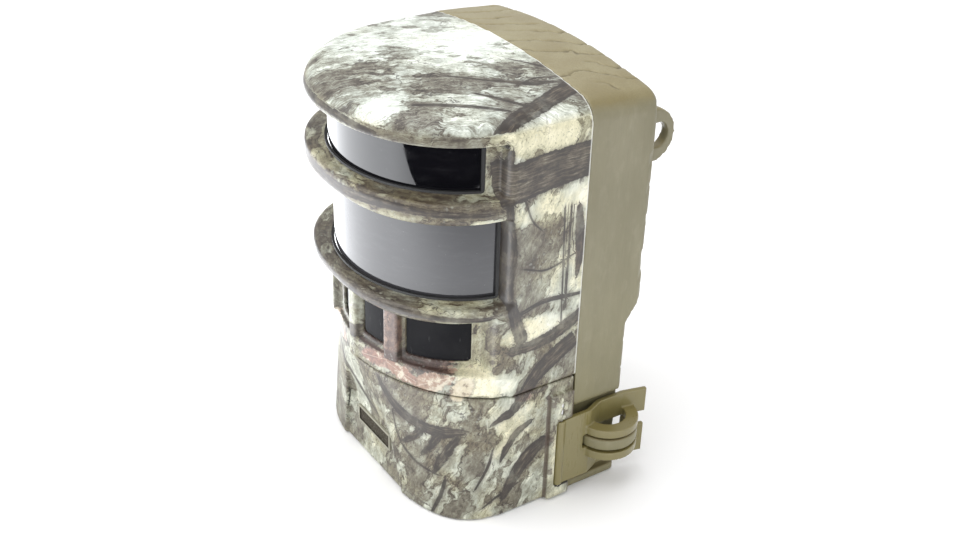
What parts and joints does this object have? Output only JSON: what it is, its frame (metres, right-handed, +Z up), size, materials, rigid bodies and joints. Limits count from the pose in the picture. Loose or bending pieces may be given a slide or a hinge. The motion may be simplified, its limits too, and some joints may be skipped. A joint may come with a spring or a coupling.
{
  "type": "trail camera",
  "caption": "Panoramic trail camera with a curved viewing window, infrared flash, motion lenses, camouflage shell, latched battery door and a padlock eye.",
  "frame": {"origin": "centre of the tripod socket's mouth in the underside of the rear housing", "axes": "+Z up through the hood, the camera looks along -Y, +X towards the latch side; X = 0 is the middle plane of the case"},
  "size_m": [0.171, 0.1652, 0.2353],
  "materials": {
    "olive_plastic": "satin, moulded bark texture",
    "camo_plastic": "satin, printed bark and branch pattern",
    "black_plastic": "fine matt",
    "flash_filter": "polished, infrared-passing",
    "smoked_window": "polished grey tint",
    "pir_film": "satin moulded film",
    "rubber": "matt",
    "circuit_board": "solder mask",
    "chip": "matt",
    "led_epoxy": "clear dark",
    "sensor_can": "plain",
    "steel": "zinc plated",
    "brass": "turned",
    "optical_glass": "coated",
    "battery_wrap": "printed wrap without lettering",
    "lcd": "clear cover",
    "button_rubber": "satin",
    "grey_plastic": "fine matt"
  },
  "bodies": {
    "case": {"rear_housing": "olive_plastic", "case_screws": "steel", "front_bezel": "camo_plastic", "flash_window": "flash_filter", "lens_window": "smoked_window", "flash_gasket": "rubber", "lens_gasket": "rubber", "pir_lens_outer_left": "pir_film", "pir_lens_inner_left": "pir_film", "pir_lens_inner_right": "pir_film", "pir_lens_outer_right": "pir_film", "ir_board_left": "circuit_board", "ir_board_center": "circuit_board", "ir_board_right": "circuit_board", "ir_leds": "led_epoxy", "turret_motor": "steel", "turret_base": "black_plastic", "main_board": "circuit_board", "board_posts": "black_plastic", "main_board_chips": "chip", "pir_board_left": "circuit_board", "pir_board_right": "circuit_board", "pir_sensors": "sensor_can", "chassis": "black_plastic", "control_panel": "grey_plastic", "panel_screws": "steel", "panel_board": "circuit_board", "panel_gasket": "rubber", "lcd_screen": "lcd", "sd_slot": "steel", "usb_port": "steel", "door_hinge_leaf": "olive_plastic", "door_hinge_pin": "steel", "tripod_insert": "brass", "dc_jack": "black_plastic"},
    "turret": {"turret_drum": "black_plastic", "lens_barrel": "black_plastic", "lens_glass": "optical_glass", "image_sensor_board": "circuit_board", "turret_shaft": "steel"},
    "door": {"front_door": "camo_plastic", "door_nameplate": "grey_plastic", "latch_pin": "steel"},
    "latch": {"latch_plate": "olive_plastic"},
    "power_slider": {"power_switch": "black_plastic"},
    "card": {"sd_card": "grey_plastic"},
    "tray": {"battery_tray": "black_plastic", "battery_cells": "battery_wrap", "battery_contacts": "steel"},
    "plug": {"jack_plug": "rubber"},
    "key_up": {"button_up": "button_rubber"},
    "key_down": {"button_down": "button_rubber"},
    "key_left": {"button_left": "button_rubber"},
    "key_right": {"button_right": "button_rubber"},
    "key_ok": {"button_ok": "button_rubber"},
    "key_mode": {"button_mode": "button_rubber"}
  },
  "joints": [
    {"name": "door_hinge", "type": "hinge", "parent": "case", "child": "door", "pos_m": [-0.077, -0.0245, 0.034], "axis": [0, 0, -1], "range_deg": [0, 100]},
    {"name": "latch_hinge", "type": "hinge", "parent": "door", "child": "latch", "pos_m": [0.077, -0.0245, 0.03], "axis": [0, 0, -1], "range_deg": [0, 95]},
    {"name": "turret_pan", "type": "hinge", "parent": "case", "child": "turret", "pos_m": [0, -0.066, 0.15], "axis": [0, 0, 1], "range_deg": [-50, 50]},
    {"name": "power_slide", "type": "slide", "parent": "case", "child": "power_slider", "axis": [1, 0, 0], "range_m": [-0.0025, 0.0025]},
    {"name": "card_slide", "type": "slide", "parent": "case", "child": "card", "axis": [0, -1, 0], "range_m": [0, 0.006]},
    {"name": "tray_slide", "type": "slide", "parent": "case", "child": "tray", "axis": [0, -1, 0], "range_m": [0, 0.006]},
    {"name": "plug_pull", "type": "slide", "parent": "case", "child": "plug", "axis": [0, 0, -1], "range_m": [0, 0.005]},
    {"name": "key_up_press", "type": "slide", "parent": "case", "child": "key_up", "axis": [0, 1, 0], "range_m": [0, 0.0008], "stiffness_N_per_m": 350},
    {"name": "key_down_press", "type": "slide", "parent": "case", "child": "key_down", "axis": [0, 1, 0], "range_m": [0, 0.0008], "stiffness_N_per_m": 350},
    {"name": "key_left_press", "type": "slide", "parent": "case", "child": "key_left", "axis": [0, 1, 0], "range_m": [0, 0.0008], "stiffness_N_per_m": 350},
    {"name": "key_right_press", "type": "slide", "parent": "case", "child": "key_right", "axis": [0, 1, 0], "range_m": [0, 0.0008], "stiffness_N_per_m": 350},
    {"name": "key_ok_press", "type": "slide", "parent": "case", "child": "key_ok", "axis": [0, 1, 0], "range_m": [0, 0.0008], "stiffness_N_per_m": 350},
    {"name": "key_mode_press", "type": "slide", "parent": "case", "child": "key_mode", "axis": [0, 1, 0], "range_m": [0, 0.0008], "stiffness_N_per_m": 350}
  ]
}
